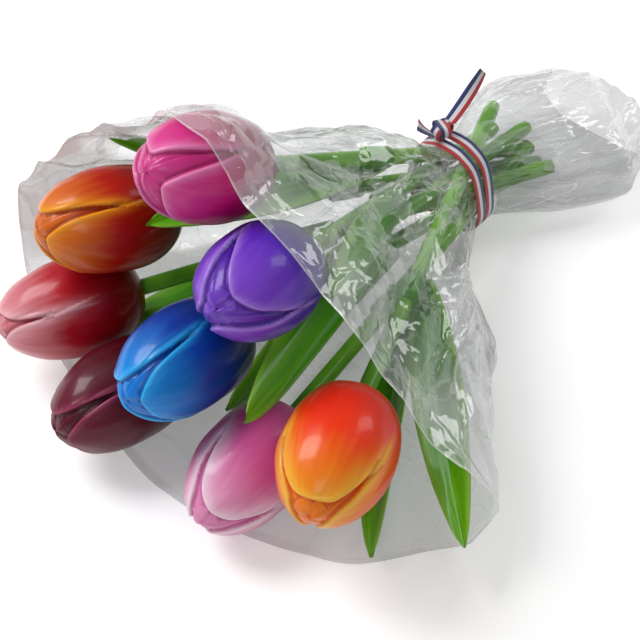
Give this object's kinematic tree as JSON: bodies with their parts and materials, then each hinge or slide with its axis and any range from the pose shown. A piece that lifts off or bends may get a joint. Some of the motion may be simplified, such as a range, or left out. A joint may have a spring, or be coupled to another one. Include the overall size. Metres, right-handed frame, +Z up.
{
  "type": "wooden tulip bouquet",
  "caption": "Bouquet of painted wooden tulips lying in a clear film sleeve, tied near the stem ends with a striped ribbon; each tulip draws out of the tie along its stem.",
  "frame": {"origin": "middle of the footprint, on the table the bouquet lies on", "axes": "+X along the bundle from the buds to the cut stem ends, +Y across the bundle, +Z up from the table"},
  "size_m": [0.2428, 0.201, 0.1164],
  "materials": {
    "clear_film": "clear glossy film",
    "striped_ribbon": "woven satin, red white and blue stripes",
    "green_lacquer": "gloss lacquer",
    "magenta_lacquer": "gloss lacquer, hand shaded",
    "flame_lacquer": "gloss lacquer, hand shaded",
    "red_lacquer": "gloss lacquer, hand shaded",
    "maroon_lacquer": "gloss lacquer, hand shaded",
    "blue_lacquer": "gloss lacquer, hand shaded",
    "purple_lacquer": "gloss lacquer, hand shaded",
    "pink_lacquer": "gloss lacquer, hand shaded",
    "orange_lacquer": "gloss lacquer, hand shaded"
  },
  "bodies": {
    "wrapping": {"film_sleeve": "clear_film", "ribbon_turn_bud_side": "striped_ribbon", "ribbon_turn_stem_side": "striped_ribbon", "ribbon_knot": "striped_ribbon", "ribbon_long_tail": "striped_ribbon", "ribbon_short_tail": "striped_ribbon"},
    "tulip_magenta": {"bud_magenta": "magenta_lacquer", "stem_magenta": "green_lacquer", "leaf_magenta": "green_lacquer"},
    "tulip_flame": {"bud_flame": "flame_lacquer", "stem_flame": "green_lacquer", "leaf_flame": "green_lacquer"},
    "tulip_red": {"bud_red": "red_lacquer", "stem_red": "green_lacquer", "leaf_red": "green_lacquer"},
    "tulip_maroon": {"bud_maroon": "maroon_lacquer", "stem_maroon": "green_lacquer", "leaf_maroon": "green_lacquer"},
    "tulip_blue": {"bud_blue": "blue_lacquer", "stem_blue": "green_lacquer", "leaf_blue": "green_lacquer"},
    "tulip_purple": {"bud_purple": "purple_lacquer", "stem_purple": "green_lacquer", "leaf_purple": "green_lacquer"},
    "tulip_pink": {"bud_pink": "pink_lacquer", "stem_pink": "green_lacquer", "leaf_pink": "green_lacquer"},
    "tulip_orange": {"bud_orange": "orange_lacquer", "stem_orange": "green_lacquer", "leaf_orange": "green_lacquer"}
  },
  "joints": [
    {"name": "draw_out_magenta", "type": "slide", "parent": "wrapping", "child": "tulip_magenta", "axis": [-0.8569, 0.1081, 0.5041], "range_m": [0, 0.057]},
    {"name": "draw_out_flame", "type": "slide", "parent": "wrapping", "child": "tulip_flame", "axis": [-0.891, 0.3409, 0.2997], "range_m": [0, 0.0507]},
    {"name": "draw_out_red", "type": "slide", "parent": "wrapping", "child": "tulip_red", "axis": [-0.8896, 0.4566, 0.0079], "range_m": [0, 0.0336]},
    {"name": "draw_out_maroon", "type": "slide", "parent": "wrapping", "child": "tulip_maroon", "axis": [-0.9821, 0.1795, 0.0568], "range_m": [0, 0.0333]},
    {"name": "draw_out_blue", "type": "slide", "parent": "wrapping", "child": "tulip_blue", "axis": [-0.9899, 0.0243, 0.1396], "range_m": [0, 0.0425]},
    {"name": "draw_out_purple", "type": "slide", "parent": "wrapping", "child": "tulip_purple", "axis": [-0.9097, -0.1545, 0.3854], "range_m": [0, 0.0518]},
    {"name": "draw_out_pink", "type": "slide", "parent": "wrapping", "child": "tulip_pink", "axis": [-0.9928, -0.1194, 0.0116], "range_m": [0, 0.0399]},
    {"name": "draw_out_orange", "type": "slide", "parent": "wrapping", "child": "tulip_orange", "axis": [-0.9302, -0.3607, 0.0685], "range_m": [0, 0.0376]}
  ]
}
